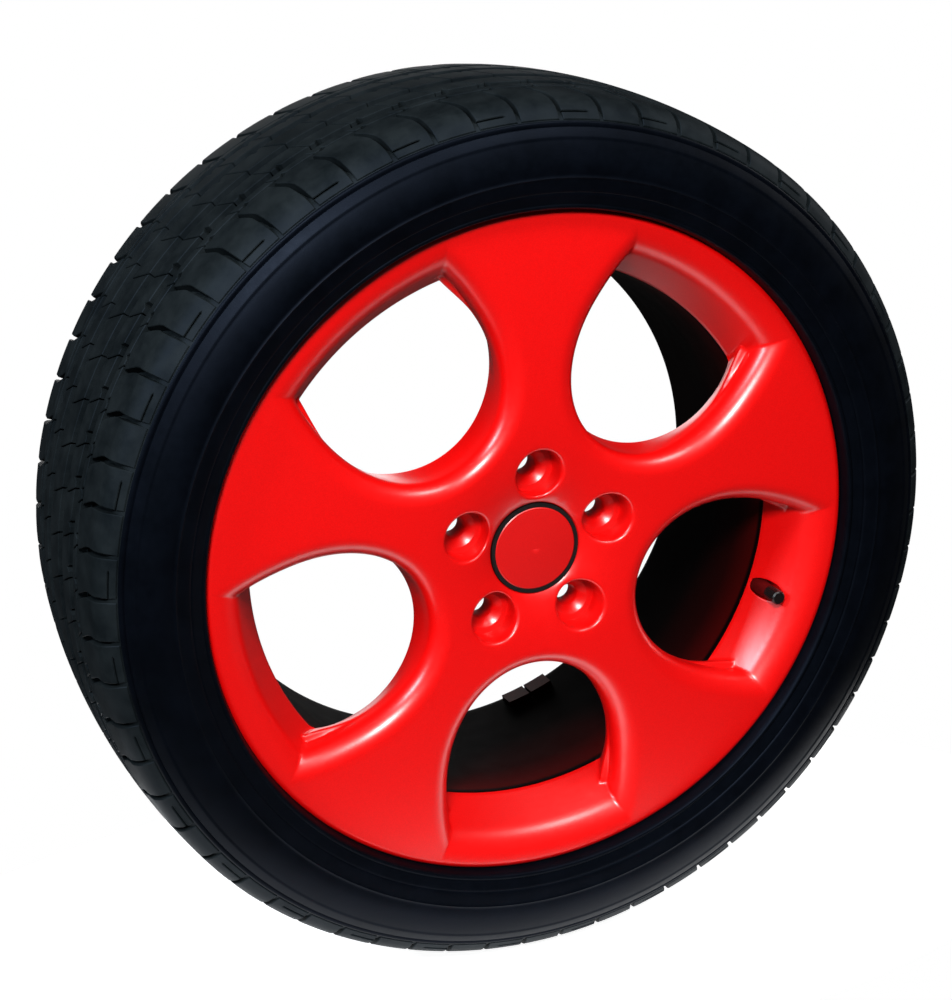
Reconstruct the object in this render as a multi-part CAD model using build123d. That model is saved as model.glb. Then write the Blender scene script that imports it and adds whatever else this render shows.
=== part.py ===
"""Road wheel with its tyre: a cast 17 x 7J wheel and a 225/45 R17 tyre, in millimetres.

The origin is the wheel's centre. The wheel spins about Y, its visible face looks towards -Y and +Z is up.
Sections are drawn with X as the radius and Y as the place along the axle, and turned about Y.
"""

import os
from math import cos, radians, sin, sqrt

from build123d import *

os.makedirs("parts", exist_ok=True)

# ---- rim: 17 inches, 7 inches between the flanges, J contour ----
RIM_WIDTH = 7.0 * 25.4
BEAD_Y = RIM_WIDTH / 2            # inner face of each flange
BEAD_R = 218.4                    # bead seat at the flange
BEAD_TOE_R = 217.2                # bead seat at the hump, five degrees down
HUMP_R = 218.9
FLANGE_R = 239.3
FLANGE_Y = 97.0                   # outermost face of each flange
WELL_R = 202.6                    # drop centre, tyre side
BARREL_R = 198.0                  # drop centre, brake side
BARREL_END_R = 199.0              # brake side at the inner bead seat
BARREL_END_Y = 84.0
BARREL_MIDDLE = (198.0, -20.0)    # the brake side widens from here to both ends

# ---- disc: hub, five spokes and five windows ----
SPOKES = 5
SPOKE_ANGLE = 90.0                # first spoke and first bolt hole stand straight up
OFFSET_Y = -54.0                  # hub face, offset 54 from the rim's middle
PAD_R = 76.0
DISC_BACK_Y = -59.5
CAP_SEAT_R = 33.2
CAP_SEAT_Y = -81.0
DISH = 11.5                       # the hub face lies this much behind the lip
DISH_POWER = 9
CENTRE_BORE_R = 57.1 / 2
BOLT_CIRCLE_R = 112.0 / 2
BOLT_R = 7.5
COUNTERBORE_R = 17.5
SLOPE_ROUND = 24.0                # round from the lip down into the windows
SLOPE_RISE = 1.8                  # steepness of the cone below that round
SLOPE_EDGE_Y = -57.0              # where that cone meets the barrel
WINDOW_ROUND = 15.0               # round of the windows' front edges
WINDOW_LEDGE_Y = (-75.0, -72.5)   # ledge on the windows' sides, near the rim
WINDOW_LEDGE = 4.5

# ---- tyre: 225/45 R17 ----
TYRE_R = 316.7
TREAD_EDGE = (311.2, 84.0)
CARCASS_CROWN_R = 300.5
CARCASS_EDGE_R = 295.2
PLY = 1.5                         # carcass ply and inner liner, each
TREAD_SPLIT_R = 244.0             # the chafer reaches from the bead to here
GROOVES_Y = (-62.0, -21.5, 21.5, 62.0)
GROOVE_WIDTH = 9.0
GROOVE_DEPTH = 7.6

# ---- valve: snap-in, parallel to the axle ----
VALVE_R = 206.0
VALVE_ANGLE = -18.6
VALVE_HOLE_R = 5.75
VALVE_FLOOR_Y = -59.0             # outboard spot face
VALVE_BASE_Y = -55.5              # tyre-side spot face
STEM_R = 3.85
STEM_END_Y = -88.3
CAP_END_Y = -90.6

# ---- balance weights: two stick-on blocks near the inner edge of the barrel ----
WEIGHT_Y = (66.0, 81.0)
WEIGHT_ANGLES = (-73.1, -67.3)
WEIGHT_SPAN = 5.3                 # degrees
TAPE = 0.8
WEIGHT = 3.6


def around(radius, angle, y=0.0):
    """Point at a radius and an angle from +X towards +Z."""
    return (radius * cos(radians(angle)), y, radius * sin(radians(angle)))


def turned(angle):
    """Rotation that carries +X to the given angle."""
    return Rot(0, -angle, 0)


def section(points, radii=None):
    """Closed section from corner points in (radius, y), with rounded corners."""
    if radii is None:
        outline = Polyline(*points, close=True)
    else:
        outline = FilletPolyline(*points, radius=radii, close=True)
    return Face(Wire(outline.edges()))


def ring(face, degrees=360.0):
    return revolve(face, Axis.Y, degrees)


def save(shape, name):
    export_step(shape, "parts/" + name + ".step")


# ---------------------------------------------------------------- wheel casting

def face_y(radius):
    """Height of the visible face: dished at the hub, flat towards the lip."""
    lip_r = FLANGE_R - 4
    reach = max(lip_r - radius, 0) / (lip_r - CAP_SEAT_R)
    return -FLANGE_Y + DISH * reach ** DISH_POWER


def slope_r(y):
    """Radius of the round and cone that lead from the lip down to the barrel."""
    lean = sqrt(1 + SLOPE_RISE ** 2)
    round_y = -FLANGE_Y + SLOPE_ROUND * (1 - 1 / lean)
    round_r = BARREL_R + (SLOPE_EDGE_Y - round_y) / SLOPE_RISE
    centre_r = round_r + SLOPE_ROUND * SLOPE_RISE / lean
    if y >= round_y:
        return BARREL_R + (SLOPE_EDGE_Y - y) / SLOPE_RISE
    return centre_r - sqrt(max(SLOPE_ROUND ** 2 - (y + FLANGE_Y - SLOPE_ROUND) ** 2, 0))


def tyre_side():
    """The rim's tyre side from the outboard flange to the inboard one, as corners and corner radii."""
    outer = [
        (FLANGE_R, -FLANGE_Y, 2.5),
        (FLANGE_R, -93.8, 1.0),
        (228.5, -BEAD_Y, 6.0),
        (BEAD_R, -BEAD_Y, 6.5),
        (BEAD_TOE_R, -70.5, 2.0),
        (HUMP_R, -66.8, 2.0),
        (BEAD_TOE_R, -60.5, 3.0),
        (WELL_R, -46.0, 7.0),
    ]
    inner = [(r, -y, corner) for r, y, corner in reversed(outer[:-1])]
    middle = [(WELL_R, -24.0, 9.0), (206.0, 50.0, 9.0)]
    return outer + middle + inner


def casting_section():
    corners = tyre_side()
    corners += [
        (229.0, FLANGE_Y, 3.0),
        (BARREL_END_R + 1, BARREL_END_Y + 2, 4.0),
        (BARREL_END_R, BARREL_END_Y - 3, 0),
        (*BARREL_MIDDLE, 40.0),
        (BARREL_R, DISC_BACK_Y, 5.0),
        (PAD_R + 3, DISC_BACK_Y, 3.0),
        (PAD_R, OFFSET_Y, 1.0),
        (CENTRE_BORE_R + 0.7, OFFSET_Y, 0),
        (CENTRE_BORE_R, OFFSET_Y - 0.7, 0),
        (CENTRE_BORE_R, -68.0, 0),
        (31.0, -70.0, 0),
        (31.0, -75.0, 0),
        (29.6, -76.4, 0),
        (29.6, CAP_SEAT_Y, 0),
        (CAP_SEAT_R, CAP_SEAT_Y, 0),
    ]
    wall = FilletPolyline(
        (FLANGE_R - 4, -FLANGE_Y),
        *[(r, y) for r, y, _ in corners],
        (CAP_SEAT_R, face_y(CAP_SEAT_R)),
        radius=[corner for _, _, corner in corners],
    )
    span = FLANGE_R - 4 - CAP_SEAT_R
    radii = [CAP_SEAT_R + span * step / 8 for step in range(9)]
    front = Spline(*[(r, face_y(r)) for r in radii])
    return Face(Wire(wall.edges() + front.edges()))


def bezier(start, lean_a, lean_b, end, u):
    weights = ((1 - u) ** 3, 3 * u * (1 - u) ** 2, 3 * u * u * (1 - u), u ** 3)
    corners = (start, lean_a, lean_b, end)
    return tuple(sum(w * c[axis] for w, c in zip(weights, corners)) for axis in (0, 1))


def window_half(u, rear):
    """Half of a window's side, in (along the window's centre line, across it).

    u runs from 0 at the hub to 1 beyond the lip. rear is 0 on the front pocket, 1 on the rear opening.
    """
    if u < 0.5:
        front = bezier((86, 0), (86, 38), (119, 64), (166, 66), 2 * u)
        back = bezier((88, 0), (88, 36), (118, 66), (152, 70), 2 * u)
    else:
        front = bezier((166, 66), (190, 67), (213, 65), (240, 52), 2 * u - 1)
        back = bezier((152, 70), (168, 72), (180, 71), (198, 60), 2 * u - 1)
    return tuple(f + (b - f) * rear for f, b in zip(front, back))


def window_side(u, rear, outset, ledge):
    """Point of the whole side: u from -1 to 1, moved outwards by outset and inwards by the ledge."""
    step = 0.001
    outset -= WINDOW_LEDGE * ledge * min(max((abs(u) - 0.45) / 0.25, 0), 1)
    near = window_half(max(abs(u) - step, 0), rear)
    far = window_half(min(abs(u) + step, 1), rear)
    along, across = window_half(abs(u), rear)
    length = sqrt((far[0] - near[0]) ** 2 + (far[1] - near[1]) ** 2)
    along -= outset * (far[1] - near[1]) / length
    across += outset * (far[0] - near[0]) / length
    return along, (across if u >= 0 else -across)


def window_level(y, rear=0.0, outset=0.0, ledge=0.0):
    """Closed outline of a window at one height: its side, and the slope's circle at the rim."""
    reach = slope_r(y)
    low, high = 0.4, 1.0
    for _ in range(40):
        middle = (low + high) / 2
        along, across = window_side(middle, rear, outset, ledge)
        if sqrt(along ** 2 + across ** 2) < reach:
            low = middle
        else:
            high = middle
    steps = [high * (step / 8 - 1) for step in range(17)]
    side = [window_side(u, rear, outset, ledge) for u in steps]
    points = [(along, y, across) for along, across in side]
    edge = ThreePointArc(points[-1], (reach, y, 0), points[0])
    return Wire([Spline(*points), edge])


def window_cutter():
    levels = [window_level(-FLANGE_Y - 2, outset=WINDOW_ROUND)]
    for step in range(5):
        turn = radians(22.5 * step)
        outset = WINDOW_ROUND * (1 - sin(turn))
        levels.append(window_level(-FLANGE_Y + WINDOW_ROUND * (1 - cos(turn)), outset=outset))
    levels.append(window_level(WINDOW_LEDGE_Y[0]))
    levels.append(window_level(WINDOW_LEDGE_Y[1], rear=0.1, ledge=1.0))
    levels.append(window_level(DISC_BACK_Y - 2, rear=1.0))
    levels.append(window_level(SLOPE_EDGE_Y + 4, rear=1.0))
    return Solid.make_loft(levels, ruled=True)


def bolt_hole_cutter():
    """Counterbore, conical seat and through hole for one wheel bolt."""
    half = section([
        (0, OFFSET_Y + 1),
        (BOLT_R, OFFSET_Y + 1),
        (BOLT_R, -69.5),
        (13.0, -75.0),
        (COUNTERBORE_R, -75.0),
        (COUNTERBORE_R, -FLANGE_Y - 1),
        (0, -FLANGE_Y - 1),
    ])
    return Pos(BOLT_CIRCLE_R, 0, 0) * ring(half)


def pad_pocket_cutter():
    """Lightening pocket in the hub face, between two bolt holes."""
    depth = 14.0
    outline = Plane.XZ.offset(-OFFSET_Y + depth) * Pos(59, 0) * SlotCenterToCenter(8, 15)
    return extrude(outline, amount=-depth - 1)


def spoke_pocket_cutter():
    """Lightening pocket in the back of one spoke."""
    depth = 20.0
    corners = [(106, -11), (106, 11), (180, 31), (184, 0), (180, -31)]
    outline = FilletPolyline(*corners, radius=[7, 7, 9, 60, 9], close=True)
    floor = Plane.XZ.offset(-DISC_BACK_Y + depth) * Face(Wire(outline.edges()))
    return extrude(floor, amount=-depth - 1)


def valve_place(shape):
    x, _, z = around(VALVE_R, VALVE_ANGLE)
    return Pos(x, 0, z) * shape


def valve_hole_cutter():
    half = section([
        (0, -FLANGE_Y - 1),
        (7.3, -FLANGE_Y - 1),
        (7.3, VALVE_FLOOR_Y),
        (VALVE_HOLE_R, VALVE_FLOOR_Y),
        (VALVE_HOLE_R, VALVE_BASE_Y),
        (7.6, VALVE_BASE_Y),
        (7.6, -44.0),
        (0, -44.0),
    ])
    return valve_place(ring(half))


def wheel_casting():
    casting = ring(casting_section())
    window = window_cutter()
    bolt_hole = bolt_hole_cutter()
    pad_pocket = pad_pocket_cutter()
    spoke_pocket = spoke_pocket_cutter()
    pitch = 360.0 / SPOKES
    for number in range(SPOKES):
        spoke = turned(SPOKE_ANGLE + pitch * number)
        gap = turned(SPOKE_ANGLE + pitch * (number + 0.5))
        casting -= gap * window
        casting -= spoke * bolt_hole
        casting -= gap * pad_pocket
        casting -= spoke * spoke_pocket
    casting -= valve_hole_cutter()
    return casting


# ---------------------------------------------------------------- tyre

def tyre_shape(crown_r, edge, side, foot_r):
    """Region inside one surface of the tyre, from its crown down to foot_r."""
    crown = ThreePointArc((edge[0], -edge[1]), (crown_r, 0), edge)
    right = Spline(edge, *side)
    left = Spline((edge[0], -edge[1]), *[(r, -y) for r, y in side])
    foot_y = side[-1][1]
    foot = Polyline(side[-1], (foot_r, foot_y), (foot_r, -foot_y), (side[-1][0], -foot_y))
    return Face(Wire([crown, right, left] + foot.edges()))


def outer_shape():
    side = [(307.6, 91.5), (298.5, 98.0), (286, 106.3), (271, 110.6), (257, 109), (248, 106.3),
            (243, 104.7), (239.8, 100.2), (234, 96), (222, 91)]
    return tyre_shape(TYRE_R, TREAD_EDGE, side, 216.0)


def carcass_outer_shape():
    side = [(288.5, 96.5), (272, 106.3), (256, 104), (244, 97.5), (234, 89.5), (222, 86)]
    return tyre_shape(CARCASS_CROWN_R, (CARCASS_EDGE_R, 84), side, 220.5)


def carcass_inner_shape(shrink):
    """Inner face of the carcass, or of the liner below it."""
    side = [(287 - shrink, 95 - shrink), (271 - shrink, 104.6 - shrink), (256, 101 - shrink),
            (243, 87 - shrink), (232, 74.5 - shrink), (224, 72.6 - shrink), (217.3, 72 - shrink)]
    edge = (CARCASS_EDGE_R - PLY - shrink, 84 - shrink / 2)
    return tyre_shape(CARCASS_CROWN_R - PLY - shrink, edge, side, 200.0)


def belt_band(low, high, half_width):
    """Band that follows the carcass crown, between two heights above it."""
    sag = CARCASS_CROWN_R - CARCASS_EDGE_R
    crown = (84 ** 2 + sag ** 2) / (2 * sag)
    centre = CARCASS_CROWN_R - crown
    outline = []
    for height in (low, high):
        edge_r = centre + sqrt((crown + height) ** 2 - half_width ** 2)
        arc = ThreePointArc((edge_r, -half_width), (CARCASS_CROWN_R + height, 0), (edge_r, half_width))
        outline.append(arc)
    outline.append(Line(outline[0] @ 0, outline[1] @ 0))
    outline.append(Line(outline[0] @ 1, outline[1] @ 1))
    return Face(Wire(outline))


def mirrored(face):
    return mirror(face, Plane.XZ)


def make_tyre():
    rim = casting_section()
    outer = outer_shape()
    carcass_outer = carcass_outer_shape()
    liner_outer = carcass_inner_shape(0)
    cavity = carcass_inner_shape(PLY)

    belt_inner = belt_band(0, 1.3, 83.5)
    belt_outer = belt_band(1.3, 2.6, 79.5)
    cap_ply = belt_band(2.6, 3.5, 84.0)

    rubber = outer - carcass_outer - liner_outer - rim
    sidewall_zone = section([
        (TREAD_SPLIT_R, 60), (293, 60), (293, 87), (299, 99), (299, 125), (TREAD_SPLIT_R, 125),
    ])
    chafer_zone = section([(215, 60), (TREAD_SPLIT_R, 60), (TREAD_SPLIT_R, 125), (215, 125)])
    sidewall = rubber & sidewall_zone
    chafer = rubber & chafer_zone
    tread = rubber & section([(280, -130), (330, -130), (330, 130), (280, 130)])
    for piece in (sidewall_zone, mirrored(sidewall_zone), belt_inner, belt_outer, cap_ply):
        tread -= piece
    for y in GROOVES_Y:
        floor_r = TYRE_R - GROOVE_DEPTH - (y / 84) ** 2 * 3
        half = GROOVE_WIDTH / 2
        tread -= section([(floor_r, y - half + 1), (330, y - half), (330, y + half), (floor_r, y + half - 1)])

    core = section([(222.3, 75.0), (229.8, 75.0), (229.8, 83.5), (222.3, 83.5)])
    filler = section([
        (229.8, 75.6), (229.8, 83.2), (244, 94.6), (252, 100.6), (259, 104.2), (250, 97.4), (240, 86),
    ])
    carcass = carcass_outer - liner_outer - core - mirrored(core) - filler - mirrored(filler)
    liner = liner_outer - cavity - rim

    save(ring(tread), "tread")
    save(ring(cap_ply), "cap_ply")
    save(ring(belt_outer), "belt_outer")
    save(ring(belt_inner), "belt_inner")
    save(ring(carcass), "carcass_ply")
    save(ring(liner & section([(210, -125), (330, -125), (330, 125), (210, 125)])), "inner_liner")
    for side, mirror_it in (("inboard", False), ("outboard", True)):
        for name, face in (
            ("sidewall", sidewall),
            ("chafer", chafer),
            ("bead_core", core),
            ("bead_filler", filler),
        ):
            save(ring(mirrored(face) if mirror_it else face), name + "_" + side)


# ---------------------------------------------------------------- centre cap

def centre_cap_body():
    """Plastic carrier: a dish that the red disc sits in, and six legs that grip the wheel."""
    plate = ring(section([(0, -81.2), (32.8, -81.2), (32.8, -86.4), (30.1, -86.4), (30.1, -84.2), (0, -84.2)]))
    leg = section([
        (26.8, -81.2), (26.8, -70.6), (28.4, -70.6), (29.4, -72.6), (28.4, -75.4), (28.4, -81.2),
    ])
    legs = [turned(60 * number) * ring(leg, 30) for number in range(6)]
    return plate.fuse(*legs)


def centre_cap_disc():
    """Domed disc with a soft edge."""
    edge_r, edge_y, top_y = 29.2, -86.6, -87.8
    dome_r = (edge_r ** 2 + (edge_y - top_y) ** 2) / (2 * (edge_y - top_y))
    half_y = top_y + dome_r - sqrt(dome_r ** 2 - edge_r ** 2 / 4)
    dome = ThreePointArc((edge_r, edge_y), (edge_r / 2, half_y), (0, top_y))
    rest = Polyline((0, top_y), (0, -84.2), (30.0, -84.2), (30.0, -86.0), (edge_r, edge_y))
    return ring(Face(Wire(dome.edges() + rest.edges())))


def centre_cap_ring():
    """Wire ring that spreads the legs."""
    wire_r = 0.9
    circle = Pos(26.75 - wire_r, -74.0) * Circle(wire_r)
    return ring(circle.face())


# ---------------------------------------------------------------- valve

def valve_body():
    return valve_place(ring(section([
        (STEM_R, -51.5), (7.3, -50.3), (7.3, -53.5), (6.9, VALVE_BASE_Y), (VALVE_HOLE_R, VALVE_BASE_Y),
        (VALVE_HOLE_R, VALVE_FLOOR_Y), (6.6, VALVE_FLOOR_Y), (6.4, -63.5), (5.4, -73.0), (5.0, -76.4),
        (STEM_R, -76.4),
    ])))


def valve_stem():
    return valve_place(ring(section([
        (1.6, -51.5), (STEM_R, -51.5), (STEM_R, STEM_END_Y), (2.6, STEM_END_Y), (2.6, -80.0), (2.0, -79.0),
        (2.0, -72.0), (1.6, -71.0),
    ])))


def valve_core_housing():
    return valve_place(ring(section([
        (1.6, -87.6), (2.55, -87.6), (2.55, -80.2), (1.7, -79.2), (0.85, -79.2), (0.85, -81.5), (1.6, -81.5),
    ])))


def valve_core_pin():
    """Pin with a collar for the spring and the seal at its inner end."""
    return valve_place(ring(section([
        (0, -88.0), (0.75, -88.0), (0.75, -86.9), (1.4, -86.9), (1.4, -86.4), (0.75, -86.4), (0.75, -79.15),
        (1.5, -79.15), (1.5, -77.0), (0, -77.0),
    ])))


def valve_core_spring():
    wire_r = 0.14
    coil_r = 1.12
    low_y, high_y = -86.2, -81.7
    path = Helix(pitch=0.9, height=high_y - low_y, radius=coil_r)
    wire = sweep(Plane(origin=path @ 0, z_dir=path % 0) * Circle(wire_r), path)
    return valve_place(Pos(0, low_y, 0) * Rot(-90, 0, 0) * wire)


def valve_cap():
    """Knurled plastic cap."""
    shell = ring(section([
        (0, CAP_END_Y), (4.3, CAP_END_Y), (5.2, CAP_END_Y + 1.2), (5.2, -77.2), (3.94, -77.2), (3.94, -89.5),
        (0, -89.5),
    ]))
    ribs = 18
    for number in range(ribs):
        notch = Pos(5.2, -83.2, 0) * Rot(0, 45, 0) * Box(0.5, 10.4, 0.5)
        shell -= Rot(0, 360 * number / ribs, 0) * notch
    return valve_place(shell)


def valve_cap_seal():
    return valve_place(ring(section([(0, -89.45), (3.8, -89.45), (3.8, -88.4), (0, -88.4)])))


# ---------------------------------------------------------------- balance weights

def barrel_r(y):
    """Brake side of the barrel where the weights stick."""
    middle_r, middle_y = BARREL_MIDDLE
    return middle_r + (BARREL_END_R - middle_r) * (y - middle_y) / (BARREL_END_Y - 3 - middle_y)


def weight_strips(top, bottom, inset):
    """One curved strip at each weight, between two heights above the barrel."""
    low_y, high_y = WEIGHT_Y[0] + inset, WEIGHT_Y[1] - inset
    strip = section([
        (barrel_r(low_y) - bottom, low_y), (barrel_r(high_y) - bottom, high_y),
        (barrel_r(high_y) - top, high_y), (barrel_r(low_y) - top, low_y),
    ])
    piece = turned(WEIGHT_SPAN / 2) * ring(strip, WEIGHT_SPAN)
    return Compound([turned(angle) * piece for angle in WEIGHT_ANGLES])


# ---------------------------------------------------------------- write the parts

save(wheel_casting(), "wheel_casting")
make_tyre()
save(centre_cap_body(), "centre_cap_body")
save(centre_cap_disc(), "centre_cap_disc")
save(centre_cap_ring(), "centre_cap_ring")
save(valve_body(), "valve_body")
save(valve_stem(), "valve_stem")
save(valve_core_housing(), "valve_core_housing")
save(valve_core_pin(), "valve_core_pin")
save(valve_core_spring(), "valve_core_spring")
save(valve_cap(), "valve_cap")
save(valve_cap_seal(), "valve_cap_seal")
save(weight_strips(TAPE, 0, 0.4), "balance_weight_tape")
save(weight_strips(TAPE + WEIGHT, TAPE, 0), "balance_weights")
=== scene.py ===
"""Looks of a road wheel with its tyre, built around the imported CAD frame.

Shapes are worked out in millimetres, in the frame's own axes: the wheel spins about Y, its visible face
looks towards -Y and +Z is up. They are turned into metres when a mesh is made.
"""

from math import atan2, cos, degrees, hypot, pi, radians, sin, sqrt

import bmesh
import bpy
import numpy as np
from mathutils import Matrix, Vector
from mathutils.geometry import delaunay_2d_cdt


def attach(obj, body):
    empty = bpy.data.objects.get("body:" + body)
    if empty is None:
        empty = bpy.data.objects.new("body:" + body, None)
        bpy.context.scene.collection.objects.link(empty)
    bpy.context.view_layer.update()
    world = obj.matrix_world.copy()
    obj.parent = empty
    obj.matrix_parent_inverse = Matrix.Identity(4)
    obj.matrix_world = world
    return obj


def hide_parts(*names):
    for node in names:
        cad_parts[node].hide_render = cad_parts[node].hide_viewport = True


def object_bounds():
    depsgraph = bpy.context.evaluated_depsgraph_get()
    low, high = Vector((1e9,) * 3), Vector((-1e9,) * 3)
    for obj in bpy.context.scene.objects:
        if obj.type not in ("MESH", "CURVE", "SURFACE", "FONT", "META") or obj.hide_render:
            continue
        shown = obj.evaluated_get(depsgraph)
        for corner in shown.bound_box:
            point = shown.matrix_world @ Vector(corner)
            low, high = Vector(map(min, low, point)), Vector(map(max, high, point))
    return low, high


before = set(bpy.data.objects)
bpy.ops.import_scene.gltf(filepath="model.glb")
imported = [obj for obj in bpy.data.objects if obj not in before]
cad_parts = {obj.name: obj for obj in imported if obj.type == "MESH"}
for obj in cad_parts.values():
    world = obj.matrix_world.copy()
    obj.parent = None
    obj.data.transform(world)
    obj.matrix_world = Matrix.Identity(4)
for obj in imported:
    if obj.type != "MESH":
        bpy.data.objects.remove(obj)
cad_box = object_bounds()
MM = 0.001

# ---- wheel: the same driving dimensions as the CAD part ----
FLANGE_R, FLANGE_Y = 239.3, 97.0
BARREL_R, WELL_R = 198.0, 202.6
BEAD_R, BEAD_TOE_R, HUMP_R = 218.4, 217.2, 218.9
OFFSET_Y, DISC_BACK_Y = -54.0, -59.5
PAD_R = 76.0
CAP_SEAT_R, CAP_SEAT_Y = 33.2, -81.0
DISH, DISH_POWER = 11.5, 9
CENTRE_BORE_R = 28.55
BOLT_CIRCLE_R, BOLT_R, COUNTERBORE_R = 56.0, 7.5, 17.5
SLOPE_ROUND, SLOPE_RISE, SLOPE_EDGE_Y = 24.0, 1.8, -57.0
SPOKES = 5
PITCH = 360.0 / SPOKES
SPOKE_ANGLE = 90.0
VALVE_R, VALVE_ANGLE = 206.0, -18.6
VALVE_FLOOR_Y = -59.0
VALVE_POCKET_R, VALVE_HOLE_R = 7.3, 5.75
WINDOW_LEDGE = 4.5

# ---- tyre ----
TYRE_R = 316.7
PITCHES = 64
TREAD_DEPTH = 7.4


# ================================================================ mesh building

class Shell:
    """A mesh in the making: points in millimetres, faces, and a material number for each face."""

    def __init__(self):
        self.points = []
        self.faces = []
        self.paints = []

    def add(self, points):
        start = len(self.points)
        self.points.extend(tuple(p) for p in points)
        return list(range(start, len(self.points)))

    def face(self, corners, paint=0):
        self.faces.append(tuple(corners))
        self.paints.append(paint)

    def strip(self, low, high, paint=0):
        """Quads between two closed rows of the same length."""
        for i in range(len(low)):
            j = (i + 1) % len(low)
            self.face((low[i], low[j], high[j], high[i]), paint)

    def strips(self, rows, paint=0):
        """Quads between each row and the next."""
        for low, high in zip(rows, rows[1:]):
            self.strip(low, high, paint)

    def cap(self, loop, paint=0):
        """Fan that closes a round loop."""
        middle = np.mean([self.points[i] for i in loop], axis=0)
        hub = self.add([middle])[0]
        for i in range(len(loop)):
            self.face((loop[i], loop[(i + 1) % len(loop)], hub), paint)

    def fill(self, loops, flats, place, spacing, paint=0):
        """Fine triangles between an outer loop and its holes.

        flats gives the loops' points in the plane, and place turns a point of the plane into one in space.
        """
        flat = np.array([p for loop in flats for p in loop])
        ids = [i for loop in loops for i in loop]
        edges = []
        start = 0
        for loop in loops:
            edges += [(start + i, start + (i + 1) % len(loop)) for i in range(len(loop))]
            start += len(loop)
        ends = flat[np.array(edges)]
        inner = hex_grid(flat.min(axis=0), flat.max(axis=0), spacing)
        inner = inner[inside(inner, ends)]
        inner = inner[far_from(inner, flat, 0.62 * spacing)]
        corners = [Vector(p) for p in flat] + [Vector(p) for p in inner]
        made, _, faces, origin, _, _ = delaunay_2d_cdt(corners, edges, [], 0, 1e-6)
        index = []
        for spot, sources in zip(made, origin):
            if sources and sources[0] < len(ids):
                index.append(ids[sources[0]])
            else:
                index.append(self.add([place(spot.x, spot.y)])[0])
        spots = np.array([tuple(v) for v in made])
        faces = np.array([f for f in faces if len(f) == 3])
        keep = inside(spots[faces].mean(axis=1), ends)
        for corners in faces[keep]:
            self.face([index[i] for i in corners], paint)

    def fill_face(self, loops, height, spacing, paint=0):
        """Fill as seen along the axle; height gives y at a distance from the axle."""
        flats = [[(self.points[i][0], self.points[i][2]) for i in loop] for loop in loops]
        self.fill(loops, flats, lambda u, v: (u, height(hypot(u, v)), v), spacing, paint)


def hex_grid(low, high, spacing):
    rows = np.arange(low[1], high[1], spacing * 0.866)
    columns = np.arange(low[0], high[0], spacing)
    grid = [(x + (row % 2) * spacing / 2, y) for row, y in enumerate(rows) for x in columns]
    return np.array(grid)


def inside(points, ends):
    """True where a point has an odd number of edges above it."""
    result = np.zeros(len(points), bool)
    for (ax, ay), (bx, by) in ends:
        if ax == bx:
            continue
        between = (points[:, 0] >= min(ax, bx)) & (points[:, 0] < max(ax, bx))
        height = ay + (points[:, 0] - ax) / (bx - ax) * (by - ay)
        result ^= between & (height > points[:, 1])
    return result


def far_from(points, others, distance):
    keep = np.ones(len(points), bool)
    for part in range(0, len(points), 400):
        gaps = points[part:part + 400, None, :] - others[None, :, :]
        keep[part:part + 400] = (gaps ** 2).sum(axis=2).min(axis=1) > distance ** 2
    return keep


def circle(centre_x, centre_z, radius, count, height):
    """Points of a circle; height is a number or a function of the distance from the axle."""
    points = []
    for i in range(count):
        angle = 2 * pi * i / count
        x = centre_x + radius * cos(angle)
        z = centre_z + radius * sin(angle)
        points.append((x, height(hypot(x, z)) if callable(height) else height, z))
    return points


def make_object(name, shell, materials, sharp=35.0):
    """Mesh object in metres, with outward normals and smooth shading up to the sharp angle."""
    mesh = bpy.data.meshes.new(name)
    mesh.from_pydata([Vector(p) * MM for p in shell.points], [], shell.faces)
    mesh.polygons.foreach_set("material_index", shell.paints)
    work = bmesh.new()
    work.from_mesh(mesh)
    bmesh.ops.remove_doubles(work, verts=work.verts, dist=1e-7)
    loose = [v for v in work.verts if not v.link_faces]
    bmesh.ops.delete(work, geom=loose, context="VERTS")
    bmesh.ops.recalc_face_normals(work, faces=work.faces)
    work.to_mesh(mesh)
    work.free()
    for material in materials:
        mesh.materials.append(material)
    mesh.shade_smooth()
    mesh.set_sharp_from_angle(angle=radians(sharp))
    obj = bpy.data.objects.new(name, mesh)
    bpy.context.collection.objects.link(obj)
    return obj


# ================================================================ materials

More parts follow.
